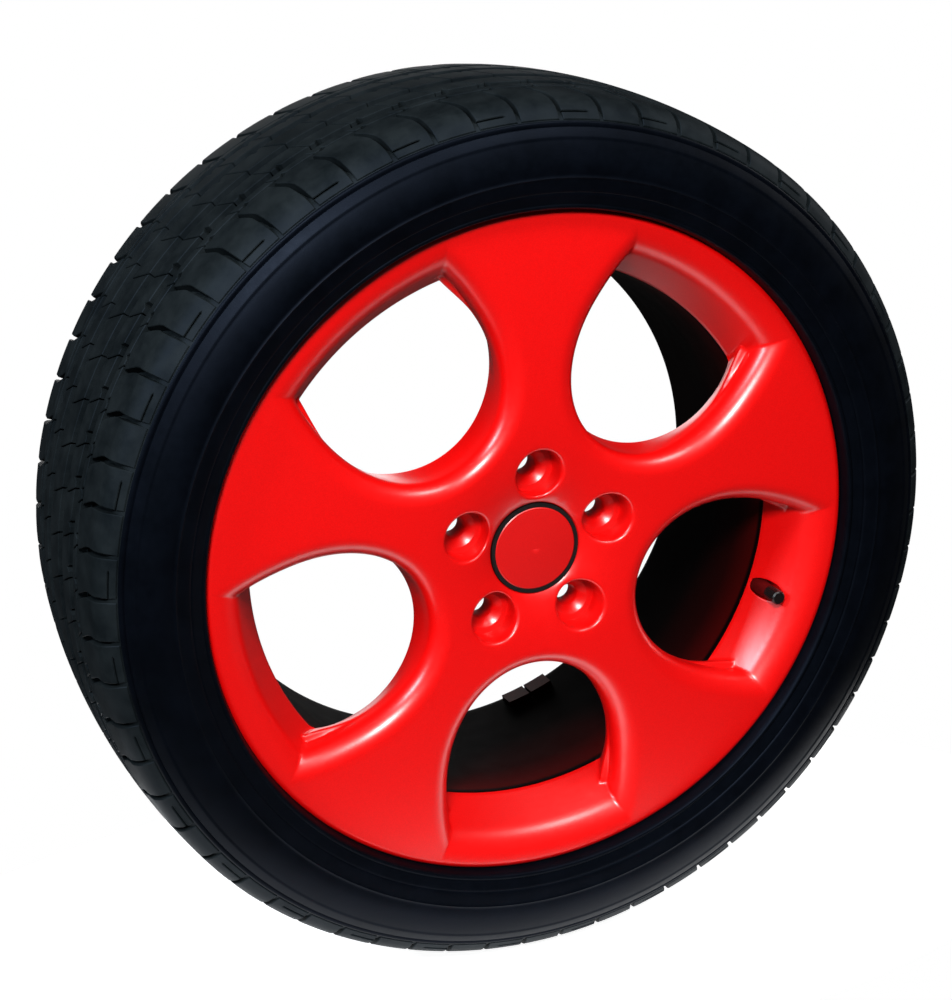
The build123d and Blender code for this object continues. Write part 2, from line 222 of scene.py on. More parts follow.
class Nodes:
    """Short hand for building one procedural material."""

    def __init__(self, name):
        self.material = bpy.data.materials.new(name)
        self.material.use_nodes = True
        self.tree = self.material.node_tree
        self.shader = self.tree.nodes["Principled BSDF"]
        self.place = self.add("ShaderNodeTexCoord").outputs["Object"]

    def add(self, kind, **values):
        node = self.tree.nodes.new(kind)
        for key, value in values.items():
            setattr(node, key, value)
        return node

    def link(self, source, target):
        self.tree.links.new(source, target)

    def set(self, **values):
        for key, value in values.items():
            self.shader.inputs[key.replace("_", " ")].default_value = value

    def noise(self, scale, detail=3.0, roughness=0.55):
        node = self.add("ShaderNodeTexNoise")
        node.inputs["Scale"].default_value = scale
        node.inputs["Detail"].default_value = detail
        node.inputs["Roughness"].default_value = roughness
        self.link(self.place, node.inputs["Vector"])
        return node.outputs["Fac"]

    def ramp(self, source, low, high, start=0.35, end=0.65):
        """Colour that runs from low to high with a value."""
        node = self.add("ShaderNodeValToRGB")
        node.color_ramp.elements[0].position = start
        node.color_ramp.elements[0].color = (*low, 1)
        node.color_ramp.elements[1].position = end
        node.color_ramp.elements[1].color = (*high, 1)
        self.link(source, node.inputs["Fac"])
        return node.outputs["Color"]

    def span(self, source, low, high):
        """Value from 0..1 moved to low..high."""
        node = self.add("ShaderNodeMapRange")
        node.inputs["To Min"].default_value = low
        node.inputs["To Max"].default_value = high
        self.link(source, node.inputs["Value"])
        return node.outputs["Result"]

    def bump(self, source, distance, strength=1.0, after=None):
        node = self.add("ShaderNodeBump")
        node.inputs["Distance"].default_value = distance
        node.inputs["Strength"].default_value = strength
        self.link(source, node.inputs["Height"])
        if after is not None:
            self.link(after, node.inputs["Normal"])
        return node.outputs["Normal"]

    def finish(self, colour=None, roughness=None, normal=None):
        if colour is not None:
            self.link(colour, self.shader.inputs["Base Color"])
        if roughness is not None:
            self.link(roughness, self.shader.inputs["Roughness"])
        if normal is not None:
            self.link(normal, self.shader.inputs["Normal"])
        return self.material


def red_paint(name, shade=1.0, rough_low=0.27):
    """Satin red with the faint speckle and orange peel of a sprayed coat."""
    n = Nodes(name)
    n.set(Specular_IOR_Level=0.70)
    speckle = n.noise(1500, 2, 0.6)
    colour = n.ramp(speckle, (0.60 * shade, 0.0005, 0.0005), (0.70 * shade, 0.0011, 0.0010), 0.3, 0.7)
    rough = n.span(n.noise(240, 3), rough_low, rough_low + 0.08)
    peel = n.bump(n.noise(420, 2), 0.00006, 0.5)
    return n.finish(colour, rough, n.bump(speckle, 0.00003, 0.4, peel))


def barrel_coat_and_painted_shade():
    """Near-black coat inside the barrel and on the disc's back, its darkness partly painted shade; just
    behind the slope's edge a black band is a painted shadow of the gap there, then a dark red band fades
    towards the back.
    """
    n = Nodes("barrel_coat_and_painted_shade")
    n.set(Specular_IOR_Level=0.03)
    split = n.add("ShaderNodeSeparateXYZ")
    n.link(n.place, split.inputs["Vector"])
    depth = n.add("ShaderNodeMapRange")
    depth.inputs["From Min"].default_value = -0.058
    depth.inputs["From Max"].default_value = 0.020
    n.link(split.outputs["Y"], depth.inputs["Value"])
    ramp = n.add("ShaderNodeValToRGB")
    # along the depth: a black band just behind the slope's edge is a painted shadow of the gap, then a dark
    # red band, then near-black painted shade towards the back
    stops = ((0.0, (0.001, 0.0003, 0.0003)), (0.06, (0.001, 0.0003, 0.0003)), (0.10, (0.040, 0.0008, 0.0008)),
             (0.45, (0.010, 0.0004, 0.0004)), (1.0, (0.0012, 0.0003, 0.0003)))
    ramp.color_ramp.elements[0].position, ramp.color_ramp.elements[0].color = stops[0][0], (*stops[0][1], 1)
    ramp.color_ramp.elements[1].position, ramp.color_ramp.elements[1].color = stops[-1][0], (*stops[-1][1], 1)
    for position, colour in stops[1:-1]:
        ramp.color_ramp.elements.new(position).color = (*colour, 1)
    n.link(depth.outputs["Result"], ramp.inputs["Fac"])
    rough = n.span(n.noise(60, 4), 0.55, 0.75)
    return n.finish(ramp.outputs["Color"], rough, n.bump(n.noise(350, 3), 0.0001, 0.5))


def rubber(name, low, high, rough=(0.5, 0.7), grain=900):
    """Dark rubber: low and high are the darkest and lightest colours of its mottling."""
    n = Nodes(name)
    n.set(Specular_IOR_Level=0.07, Specular_Tint=(0.50, 0.66, 1.0, 1))
    colour = n.ramp(n.noise(45, 5, 0.6), low, high)
    roughness = n.span(n.noise(180, 4), rough[0], rough[1])
    soft = n.bump(n.noise(130, 3), 0.00012, 0.35)
    return n.finish(colour, roughness, n.bump(n.noise(grain, 3), 0.00005, 0.6, soft))


def plastic(name, low, high, rough=(0.4, 0.55)):
    """Moulded plastic with a fine grain."""
    n = Nodes(name)
    colour = n.ramp(n.noise(300, 3), low, high)
    roughness = n.span(n.noise(500, 2), rough[0], rough[1])
    return n.finish(colour, roughness, n.bump(n.noise(2200, 2), 0.00003, 0.7))


def metal(name, low, high, rough=(0.25, 0.4)):
    """Bare metal, slightly uneven in colour and polish."""
    n = Nodes(name)
    n.set(Metallic=1.0)
    colour = n.ramp(n.noise(200, 4), low, high)
    roughness = n.span(n.noise(900, 3), rough[0], rough[1])
    return n.finish(colour, roughness, n.bump(n.noise(1400, 2), 0.00002, 0.5))


def corded(name, rubber_colour, cord_colour, per_metre, lean):
    """Rubber ply with its cords showing as fine slanted lines."""
    n = Nodes(name)
    mapping = n.add("ShaderNodeMapping")
    mapping.inputs["Rotation"].default_value = (0, lean, 0)
    n.link(n.place, mapping.inputs["Vector"])
    wave = n.add("ShaderNodeTexWave")
    wave.inputs["Scale"].default_value = per_metre / 20
    wave.inputs["Distortion"].default_value = 0.6
    n.link(mapping.outputs["Vector"], wave.inputs["Vector"])
    colour = n.ramp(wave.outputs["Fac"], rubber_colour, cord_colour, 0.4, 0.8)
    roughness = n.span(n.noise(300, 3), 0.55, 0.75)
    return n.finish(colour, roughness, n.bump(wave.outputs["Fac"], 0.0002, 0.6))


# ================================================================ wheel shape

def face_y(radius):
    """Height of the visible face: dished at the hub, flat towards the lip."""
    lip_r = FLANGE_R - 4
    reach = max(lip_r - radius, 0) / (lip_r - CAP_SEAT_R)
    return -FLANGE_Y + DISH * reach ** DISH_POWER


SLOPE_LEAN = sqrt(1 + SLOPE_RISE ** 2)
ROUND_Y = -FLANGE_Y + SLOPE_ROUND * (1 - 1 / SLOPE_LEAN)
ROUND_R = BARREL_R + (SLOPE_EDGE_Y - ROUND_Y) / SLOPE_RISE
LIP_R = ROUND_R + SLOPE_ROUND * SLOPE_RISE / SLOPE_LEAN


def slope_r(y):
    """Radius of the round and cone that lead from the lip down to the barrel."""
    if y >= ROUND_Y:
        return BARREL_R + (SLOPE_EDGE_Y - y) / SLOPE_RISE
    return LIP_R - sqrt(max(SLOPE_ROUND ** 2 - (y + FLANGE_Y - SLOPE_ROUND) ** 2, 0))


def slope_y(radius):
    if radius <= ROUND_R:
        return SLOPE_EDGE_Y - (radius - BARREL_R) * SLOPE_RISE
    return -FLANGE_Y + SLOPE_ROUND - sqrt(max(SLOPE_ROUND ** 2 - (LIP_R - radius) ** 2, 0))


def bezier(start, lean_a, lean_b, end, u):
    weights = ((1 - u) ** 3, 3 * u * (1 - u) ** 2, 3 * u * u * (1 - u), u ** 3)
    corners = (start, lean_a, lean_b, end)
    return tuple(sum(w * c[axis] for w, c in zip(weights, corners)) for axis in (0, 1))


def window_half(u, rear):
    """Half of a window's side, in (along the window's centre line, across it)."""
    if u < 0.5:
        front = bezier((86, 0), (86, 38), (119, 64), (166, 66), 2 * u)
        back = bezier((88, 0), (88, 36), (118, 66), (152, 70), 2 * u)
    else:
        front = bezier((166, 66), (190, 67), (213, 65), (240, 52), 2 * u - 1)
        back = bezier((152, 70), (168, 72), (180, 71), (198, 60), 2 * u - 1)
    return np.array(front) + (np.array(back) - np.array(front)) * rear


def ease(value, low, high):
    t = min(max((value - low) / (high - low), 0.0), 1.0)
    return t * t * (3 - 2 * t)


class Level:
    """One height of a window.

    turn is the angle of the front fillet, rear how far the side has moved from the front pocket to the
    rear opening, and ledge how far the ledge near the rim stands in.
    """

    def __init__(self, turn, y, rear=0.0, ledge=0.0):
        self.turn = turn
        self.y = y
        self.rear = rear
        self.ledge = ledge


HUB_ROUND, SIDE_ROUND = 13.0, 16.0
WALL_Y = -FLANGE_Y + SIDE_ROUND


def window_levels():
    steps = 10
    levels = []
    for step in range(steps + 1):
        turn = pi / 2 * step / steps
        levels.append(Level(turn, -FLANGE_Y + SIDE_ROUND * (1 - cos(turn))))
    for y, rear, ledge in (
        (-78.8, 0.02, 0.0), (-76.4, 0.05, 0.0), (-75.2, 0.06, 0.07), (-74.5, 0.07, 0.28), (-73.9, 0.08, 0.62),
        (-73.3, 0.09, 0.88), (-72.5, 0.11, 1.0), (-71.0, 0.17, 1.0), (-69.0, 0.27, 0.93), (-66.0, 0.45, 0.70),
        (-62.5, 0.68, 0.38), (-59.5, 0.86, 0.13), (SLOPE_EDGE_Y, 1.0, 0.0),
    ):
        levels.append(Level(pi / 2, y, rear, ledge))
    return levels


def side_points(level, count=400):
    """Dense points of a whole side at one level: along, across and height."""
    points = []
    for i in range(-count, count + 1):
        u = i / count
        size = abs(u)
        here = window_half(size, level.rear)
        ahead = window_half(min(size + 0.002, 1), level.rear) - window_half(max(size - 0.002, 0), level.rear)
        ahead = ahead / hypot(*ahead)
        rounding = HUB_ROUND + (SIDE_ROUND - HUB_ROUND) * ease(size, 0.1, 0.5)
        outset = rounding * (1 - sin(level.turn)) - WINDOW_LEDGE * level.ledge * ease(size, 0.40, 0.72)
        along = here[0] - outset * ahead[1]
        across = here[1] + outset * ahead[0]
        radius = hypot(along, across)
        if level.turn < pi / 2:
            y = face_y(radius) + rounding * (1 - cos(level.turn))
        elif level.y < SLOPE_EDGE_Y:
            fade = (level.y - SLOPE_EDGE_Y) / (WALL_Y - SLOPE_EDGE_Y)
            lift = face_y(radius) + rounding - SIDE_ROUND + FLANGE_Y
            sink = (DISC_BACK_Y - SLOPE_EDGE_Y) * (1 - fade) * (1 - ease(radius, 184, 197))
            y = level.y + lift * fade + sink
        else:
            y = back_y(radius)
        points.append((along, across if i >= 0 else -across, y))
    return np.array(points)


def back_y(radius):
    """Height of the disc's back, which turns up into the barrel."""
    fillet = 5.0
    start = BARREL_R - fillet
    if radius <= start:
        return DISC_BACK_Y
    reach = min(radius - start, fillet)
    spare = fillet - (SLOPE_EDGE_Y - DISC_BACK_Y)
    return DISC_BACK_Y + fillet - sqrt(fillet ** 2 - reach ** 2) - spare * (reach / fillet)


def resampled(points, count):
    """The same path with evenly spaced points."""
    steps = np.sqrt((np.diff(points[:, :2], axis=0) ** 2).sum(axis=1))
    length = np.concatenate([[0], np.cumsum(steps)])
    want = np.linspace(0, length[-1], count)
    return np.stack([np.interp(want, length, points[:, k]) for k in range(points.shape[1])], axis=1)


SIDE_COUNT, CORNER_COUNT, ARC_COUNT, SPOKE_COUNT = 109, 5, 37, 22


def level_loop(level):
    """Loop of one level: side, corner, slope arc (falling angle), corner, in the window's own axes."""
    reach = slope_r(level.y)
    side = side_points(level)
    middle = len(side) // 2
    radius = np.hypot(side[:, 0], side[:, 1])
    end = middle + int(np.argmax(radius[middle:] >= reach))
    if radius[end] < reach:
        end = len(side) - 1
    side = side[2 * middle - end:end + 1]
    corner_angle = atan2(side[-1, 1], side[-1, 0])
    depth = level.y + FLANGE_Y
    cut = 0.5 + 2.4 * min(depth / 9, 1)
    travel = np.concatenate([[0], np.cumsum(np.hypot(*np.diff(side[:, :2], axis=0).T))])
    kept = side[(travel > cut) & (travel < travel[-1] - cut)]
    kept = resampled(kept, SIDE_COUNT)
    arc_angle = corner_angle - cut / reach
    arc = []
    for i in range(ARC_COUNT):
        angle = arc_angle * (1 - 2 * i / (ARC_COUNT - 1))
        arc.append((reach * cos(angle), reach * sin(angle), level.y))
    corner = np.array([reach * cos(corner_angle), reach * sin(corner_angle), level.y])

    def bend(start, finish, tip):
        points = []
        for i in range(1, CORNER_COUNT + 1):
            t = i / (CORNER_COUNT + 1)
            points.append((1 - t) ** 2 * start + 2 * t * (1 - t) * tip + t * t * finish)
        return points

    high = bend(kept[-1], np.array(arc[0]), corner)
    low = bend(np.array(arc[-1]), kept[0], corner * (1, -1, 1))
    return list(kept) + high + arc + low


def to_space(point, angle):
    """Window axes (along, across, height) to the frame's axes."""
    along, across, y = point
    c, s = cos(radians(angle)), sin(radians(angle))
    return (along * c - across * s, y, along * s + across * c)


WINDOW_ANGLES = [SPOKE_ANGLE + PITCH * (k - 1.5) for k in range(SPOKES)]
ARC_START = SIDE_COUNT + CORNER_COUNT
ARC_END = ARC_START + ARC_COUNT


def valve_axis():
    return VALVE_R * cos(radians(VALVE_ANGLE)), VALVE_R * sin(radians(VALVE_ANGLE))


def valve_pocket(shell, loops, paint):
    """Spot face for the valve: replaces a patch of the slope with one that has a round pocket."""
    x, z = valve_axis()
    spots = []
    for row, loop in enumerate(loops):
        for column in range(ARC_START, ARC_END):
            px, _, pz = shell.points[loop[column]]
            if hypot(px - x, pz - z) < VALVE_POCKET_R + 2.2:
                spots.append((row, column))
    rows = [row for row, _ in spots]
    columns = [column for _, column in spots]
    low, high = min(rows) - 1, min(max(rows) + 1, len(loops) - 1)
    left, right = min(columns) - 1, max(columns) + 1
    border = [loops[low][c] for c in range(left, right)]
    border += [loops[r][right] for r in range(low, high)]
    border += [loops[high][c] for c in range(right, left, -1)]
    border += [loops[r][left] for r in range(high, low, -1)]
    count = 64
    mouth = shell.add(circle(x, z, VALVE_POCKET_R + 0.45, count, slope_y))
    shell.fill_face([border, mouth], slope_y, 1.6, paint)

    def wall(drop):
        return lambda r: min(slope_y(r) + drop, max(VALVE_FLOOR_Y - 0.2, slope_y(r) + 0.1))

    def seat(short, drop):
        return lambda r: max(VALVE_FLOOR_Y - short, slope_y(r) + drop)

    rows = [
        shell.add(circle(x, z, VALVE_POCKET_R + 0.15, count, wall(0.12))),
        shell.add(circle(x, z, VALVE_POCKET_R, count, wall(0.45))),
        shell.add(circle(x, z, VALVE_POCKET_R, count, wall(1.2))),
        shell.add(circle(x, z, VALVE_POCKET_R - 0.05, count, seat(0.3, 0.15))),
        shell.add(circle(x, z, VALVE_POCKET_R - 0.3, count, seat(0.0, 0.2))),
        shell.add(circle(x, z, VALVE_HOLE_R, count, seat(0.0, 0.2))),
        shell.add(circle(x, z, VALVE_HOLE_R, count, VALVE_FLOOR_Y + 2.5)),
    ]
    shell.strips([mouth] + rows, paint)
    shell.cap(rows[-1], paint)
    return {(r, c) for r in range(low, high) for c in range(left, right)}


def rim_rows():
    """Radius, y and paint of every row around the rim, from the lip over the tyre side to the barrel."""
    corner, wide, deep = 2.5, 4.5, 3.5
    rows = []
    for step in range(9):
        turn = pi / 2 * step / 8
        rows.append((FLANGE_R - wide + wide * sin(turn), -FLANGE_Y + deep * (1 - cos(turn)), 0))
    rows += [(238.7, -93.2, 0), (228.5, -88.9, 1), (219.6, -88.9, 1), (BEAD_R, -85.0, 1)]
    rows += [(BEAD_TOE_R, -70.5, 1), (HUMP_R, -66.8, 1), (BEAD_TOE_R, -60.5, 1)]
    rows += [(204.6, -47.5, 1), (WELL_R, -44.0, 1), (WELL_R, -24.0, 1), (206.0, 50.0, 1)]
    rows += [(BEAD_TOE_R, 60.5, 1), (HUMP_R, 66.8, 1), (BEAD_TOE_R, 70.5, 1)]
    rows += [(BEAD_R, 85.0, 1), (219.6, 88.9, 1), (228.5, 88.9, 1), (238.7, 93.2, 1)]
    for step in range(6):
        turn = pi / 2 * step / 5
        rows.append((FLANGE_R - corner + corner * cos(turn), FLANGE_Y - corner * (1 - sin(turn)), 1))
    rows += [(231.0, FLANGE_Y, 1), (229.4, 96.7, 1), (227.8, 96.0, 1), (203.5, 87.6, 1), (201.2, 86.4, 1)]
    rows += [(200.0, 85.0, 1), (199.4, 83.5, 1), (199.1, 81.5, 1), (199.0, 78.0, 1), (198.6, 50.0, 1)]
    rows += [(198.3, 15.0, 1), (198.1, -12.0, 1)]
    rows += [(BARREL_R, -22.0, 1), (BARREL_R, -40.0, 1), (BARREL_R, -54.5, 1)]
    return rows


def rounded_pocket(shell, outline, depths, paint):
    """Rows of a pocket from its mouth to its floor, and the floor.

    outline gives the points at an inset, and depths lists the inset and y of each row.
    """
    rows = []
    for inset, y in depths:
        rows.append(shell.add([(x, y, z) for x, z in outline(inset)]))
    shell.strips(rows, paint)
    shell.cap(rows[-1], paint)
    return rows[0]


def slot_outline(angle, near, far, half_near, half_far, corner):
    """Outline function of a rounded four-sided pocket whose middle line stands at an angle."""

    def outline(inset):
        c, s = cos(radians(angle)), sin(radians(angle))
        a, b = near + inset, far - inset
        ha, hb = half_near - inset, half_far - inset
        corners = [(a, -ha), (b, -hb), (b, hb), (a, ha)]
        radius = max(corner - inset, 1.0)
        points = []
        for k in range(4):
            here = np.array(corners[k], float)
            before = np.array(corners[k - 1], float) - here
            after = np.array(corners[(k + 1) % 4], float) - here
            before /= hypot(*before)
            after /= hypot(*after)
            start, finish = here + before * radius, here + after * radius
            for i in range(7):
                t = i / 6
                points.append((1 - t) ** 2 * start + 2 * t * (1 - t) * here + t * t * finish)
            along = corners[(k + 1) % 4] - here
            tip = here + along - after * radius
            for i in range(1, 6):
                points.append(finish + (tip - finish) * i / 6)
        return [(p[0] * c - p[1] * s, p[0] * s + p[1] * c) for p in points]

    return outline


RED, DARK = 0, 1                     # the casting's two materials: red paint, and a near-black coat that is partly painted shade


def window_walls(shell):
    """Sides of every window, with the valve's pocket; gives each window's loops from front to back."""
    local = [level_loop(level) for level in window_levels()]
    windows = []
    for angle in WINDOW_ANGLES:
        windows.append([shell.add([to_space(p, angle) for p in loop]) for loop in local])
    valve_window = min(range(SPOKES), key=lambda k: abs(WINDOW_ANGLES[k] - VALVE_ANGLE))
    for number, loops in enumerate(windows):
        holes = valve_pocket(shell, loops, RED) if number == valve_window else set()
        for row in range(len(loops) - 1):
            low, high = loops[row], loops[row + 1]
            for i in range(len(low)):
                j = (i + 1) % len(low)
                if (row, i) not in holes:
                    shell.face((low[i], low[j], high[j], high[i]), RED)
    return windows


def rim_loop(shell, windows, row, radius, y):
    """The ring at the rim, made of each window's arc and the points between two windows.

    It comes with the border of the face inside it, which runs round the windows' other sides.
    """
    loop, border = [], []
    for k, loops in enumerate(windows):
        points = loops[row]
        arc = points[ARC_START:ARC_END][::-1]
        low_corner, high_corner = points[ARC_END:], points[SIDE_COUNT:ARC_START]
        start = angle_of(shell.points[arc[-1]])
        after = windows[(k + 1) % SPOKES][row][ARC_END - 1]
        finish = angle_of(shell.points[after])
        finish += 360 if finish < start else 0
        between = []
        for i in range(1, SPOKE_COUNT + 1):
            angle = radians(start + (finish - start) * i / (SPOKE_COUNT + 1))
            between.append((radius * cos(angle), y, radius * sin(angle)))
        between = shell.add(between)
        loop += arc + between
        border += [arc[0]] + low_corner + points[:SIDE_COUNT] + high_corner + [arc[-1]] + between
    return loop, border


def rim(shell, lip, inner):
    """Rows from the lip over the tyre side and the barrel to the windows' inner ends."""
    start_angles = unwrapped([angle_of(shell.points[i]) for i in lip])
    end_angles = unwrapped([angle_of(shell.points[i]) for i in inner])
    before = lip
    for number, (radius, y, paint) in enumerate(rim_rows()):
        share = ease(number, 6, 24)
        angles = np.radians(start_angles + (end_angles - start_angles) * share)
        row = shell.add([(radius * cos(a), y, radius * sin(a)) for a in angles])
        shell.strip(before, row, paint)
        before = row
    shell.strip(before, inner, DARK)


def hub_bore(shell):
    """Cap seat and centre bore; gives the loops at the face and at the hub face."""
    seat = [
        (CAP_SEAT_R + 0.9, None, RED), (CAP_SEAT_R + 0.35, 0.12, RED), (CAP_SEAT_R + 0.05, 0.5, RED),
        (CAP_SEAT_R, 1.2, RED), (CAP_SEAT_R, CAP_SEAT_Y, RED), (29.6, CAP_SEAT_Y, DARK), (29.6, -76.4, DARK),
        (31.0, -75.0, DARK), (31.0, -70.0, DARK), (CENTRE_BORE_R, -68.0, DARK), (CENTRE_BORE_R, -54.8, DARK),
        (29.4, OFFSET_Y, DARK),
    ]
    rows = []
    for radius, y, paint in seat:
        if y is None:
            height = face_y(radius)
        elif y > 0:
            height = face_y(CAP_SEAT_R) + y
        else:
            height = y
        rows.append((shell.add(circle(0, 0, radius, 96, height)), paint))
    for (a, _), (b, paint) in zip(rows, rows[1:]):
        shell.strip(a, b, paint)
    return rows[0][0], rows[-1][0]


def bolt_hole(shell, number):
    """Rounded mouth, counterbore, seat and through hole; gives the loops at both ends."""
    angle = radians(SPOKE_ANGLE + PITCH * number)
    x, z = BOLT_CIRCLE_R * cos(angle), BOLT_CIRCLE_R * sin(angle)
    profile = []
    rounding = 2.6
    for step in range(7):
        turn = pi / 2 * step / 6
        radius = COUNTERBORE_R + rounding * (1 - sin(turn))
        drop = rounding * (1 - cos(turn))
        profile.append((radius, lambda r, drop=drop: face_y(r) + drop))
    profile += [(COUNTERBORE_R, -84.0), (COUNTERBORE_R, -76.0), (COUNTERBORE_R - 0.3, -75.2)]
    profile += [(COUNTERBORE_R - 1.0, -75.0), (13.3, -75.0), (12.9, -74.8), (BOLT_R + 0.4, -69.9)]
    profile += [(BOLT_R, -69.2), (BOLT_R, -54.8), (BOLT_R + 0.7, OFFSET_Y)]
    rows = [shell.add(circle(x, z, radius, 56, y)) for radius, y in profile]
    shell.strips(rows, RED)
    return rows[0], rows[-1]


def hub_pad(shell):
    """Step around the hub face; gives the loops at its top and at its foot."""
    profile = [(PAD_R - 0.6, OFFSET_Y), (PAD_R, -54.3)]
    profile += [(PAD_R + 2.6, DISC_BACK_Y + 0.5), (PAD_R + 3.4, DISC_BACK_Y)]
    rows = [shell.add(circle(0, 0, radius, 96, y)) for radius, y in profile]
    shell.strips(rows, DARK)
    return rows[0], rows[-1]


def back_pockets(shell):
    """Lightening pockets in the hub pad, between the bolt holes, and behind the spokes."""
    pad_holes, spoke_holes = [], []
    for number in range(SPOKES):
        gap = SPOKE_ANGLE + PITCH * (number + 0.5)
        outline = slot_outline(gap, 47.5, 70.5, 7.5, 7.5, 6.5)
        depths = [(-0.6, OFFSET_Y), (0.0, -54.6), (0.5, -66.0), (2.5, -68.0)]
        pad_holes.append(rounded_pocket(shell, outline, depths, DARK))
        spoke = SPOKE_ANGLE + PITCH * number
        outline = slot_outline(spoke, 106, 181, 11.5, 31, 8)
        depths = [(-1.4, DISC_BACK_Y), (-0.4, -59.9), (0.0, -61.0), (1.5, -76.0), (2.4, -78.4), (4.5, -79.5)]
        spoke_holes.append(rounded_pocket(shell, outline, depths, DARK))
    return pad_holes, spoke_holes


def wheel_shell():
    """The whole casting as one closed mesh."""
    shell = Shell()
    windows = window_walls(shell)
    lip, front_border = rim_loop(shell, windows, 0, LIP_R, -FLANGE_Y)
    inner, back_border = rim_loop(shell, windows, -1, BARREL_R, SLOPE_EDGE_Y)
    rim(shell, lip, inner)
    hub_mouth, bore_end = hub_bore(shell)
    bolt_holes = [bolt_hole(shell, number) for number in range(SPOKES)]
    mouths = [mouth for mouth, _ in bolt_holes]
    exits = [end for _, end in bolt_holes]
    shell.fill_face([front_border, hub_mouth] + mouths, face_y, 5.0, RED)
    pad_top, pad_foot = hub_pad(shell)
    pad_holes, spoke_holes = back_pockets(shell)
    shell.fill_face([pad_top, bore_end] + exits + pad_holes, lambda r: OFFSET_Y, 6.0, DARK)
    shell.fill_face([back_border, pad_foot] + spoke_holes, back_y, 6.0, DARK)
    return shell


def angle_of(point):
    return degrees(atan2(point[2], point[0]))


def unwrapped(angles):
    """Angles that only grow, so that two rings can be blended point by point."""
    return np.degrees(np.unwrap(np.radians(angles)))


# ================================================================ tyre shape

CROWN_EDGE = 84.0


def tyre_outline():
    """Outer surface from the crown to the bead, as dense points (radius, y)."""
    drop = TYRE_R - 311.2
    crown = (CROWN_EDGE ** 2 + drop ** 2) / (2 * drop)
    points = [(TYRE_R - crown + sqrt(crown ** 2 - y ** 2), y) for y in np.arange(0, CROWN_EDGE, 4.0)]
    points += [(311.2, 84.0), (307.9, 91.0), (304.0, 95.0), (298.5, 98.6), (286, 106.3), (271, 110.4)]
    points += [(257, 109.0), (249, 106.8), (244.2, 105.2)]
    return smooth_path(points)


def smooth_path(points, per_span=10):
    """Catmull-Rom curve through the points."""
    pts = np.array(points, float)
    pts = np.concatenate([[2 * pts[0] - pts[1]], pts, [2 * pts[-1] - pts[-2]]])
    out = []
    for k in range(1, len(pts) - 2):
        a, b, c, d = pts[k - 1:k + 3]
        for i in range(per_span):
            t = i / per_span
            out.append(0.5 * (2 * b + (c - a) * t + (2 * a - 5 * b + 4 * c - d) * t ** 2
                              + (3 * b - a - 3 * c + d) * t ** 3))
    out.append(pts[-2])
    return np.array(out)


OUTLINE = tyre_outline()
OUTLINE_W = np.concatenate([[0], np.cumsum(np.hypot(*np.diff(OUTLINE, axis=0).T))])


def surface(w, depth=0.0):
    """Radius and y at a distance w from the crown's middle line, depth below the surface."""
    size = abs(w)
    radius = float(np.interp(size, OUTLINE_W, OUTLINE[:, 0]))
    y = float(np.interp(size, OUTLINE_W, OUTLINE[:, 1]))
    step = 1.0
    ahead = [np.interp(size + step, OUTLINE_W, OUTLINE[:, k]) for k in (0, 1)]
    behind = [np.interp(max(size - step, 0), OUTLINE_W, OUTLINE[:, k]) for k in (0, 1)]
    along = (ahead[0] - behind[0], ahead[1] - behind[1])
    length = hypot(*along)
    radius -= depth * along[1] / length
    y += depth * along[0] / length
    return radius, (y if w >= 0 else -y)


def tread_point(s, w, depth=0.0):
    """Point of the tyre at s millimetres around the crown and w across it."""
    radius, y = surface(w, depth)
    angle = s / TYRE_R
    return (radius * cos(angle), y, radius * sin(angle))


def ring_mesh(shell, outline, segments, paint=0):
    """Closed section (radius, y) turned about the axle."""
    rows = []
    for radius, y in outline:
        rows.append(shell.add([
            (radius * cos(2 * pi * i / segments), y, radius * sin(2 * pi * i / segments))
            for i in range(segments)
        ]))
    for a, b in zip(rows, rows[1:] + rows[:1]):
        shell.strip(a, b, paint)


def offset_outline(points, distance):
    """Closed outline moved along its normals, for the edge and the foot of a block."""
    pts = np.array(points, float)
    before = pts - np.roll(pts, 1, axis=0)
    after = np.roll(pts, -1, axis=0) - pts
    n1 = np.stack([before[:, 1], -before[:, 0]], axis=1) / np.hypot(*before.T)[:, None]
    n2 = np.stack([after[:, 1], -after[:, 0]], axis=1) / np.hypot(*after.T)[:, None]
    middle = n1 + n2
    scale = 2 / np.maximum((middle ** 2).sum(axis=1), 0.8)
    return pts + middle * scale[:, None] * distance


def split_long(points, longest):
    """Adds points so that no edge of a closed outline is longer than this."""
    out = []
    for k in range(len(points)):
        a, b = np.array(points[k], float), np.array(points[(k + 1) % len(points)], float)
        count = max(int(hypot(*(b - a)) / longest + 0.999), 1)
        out += [a + (b - a) * i / count for i in range(count)]
    return out


BLOCK_FOOT = TREAD_DEPTH + 0.4
BLOCK_EDGE, BLOCK_DRAFT = 0.55, 0.055


def block(shell, points):
    """One tread block: a top with a small chamfer and walls that widen towards the groove floor.

    The points go round the block anticlockwise in (s, w).
    """
    points = split_long(points, 5.0)
    top = offset_outline(points, -BLOCK_EDGE)
    foot = offset_outline(points, BLOCK_DRAFT * BLOCK_FOOT)
    rows = [
        shell.add([tread_point(s, w, 0.0) for s, w in top]),
        shell.add([tread_point(s, w, BLOCK_EDGE * 0.8) for s, w in points]),
        shell.add([tread_point(s, w, BLOCK_FOOT) for s, w in foot]),
    ]
    shell.strips(rows)
    shell.fill([rows[0]], [[tuple(p) for p in top]], tread_point, 5.5)
    shell.fill([rows[2]], [[tuple(p) for p in foot]], lambda u, v: tread_point(u, v, BLOCK_FOOT), 12.0)


GAP = 2 * pi * TYRE_R / PITCHES


def groove_line(w):
    """How far round the lateral groove of the shoulder has moved at a distance w from the middle."""
    return 9.0 * ease(w, 50, 78) + 2.0 * ease(w, 78, 104)


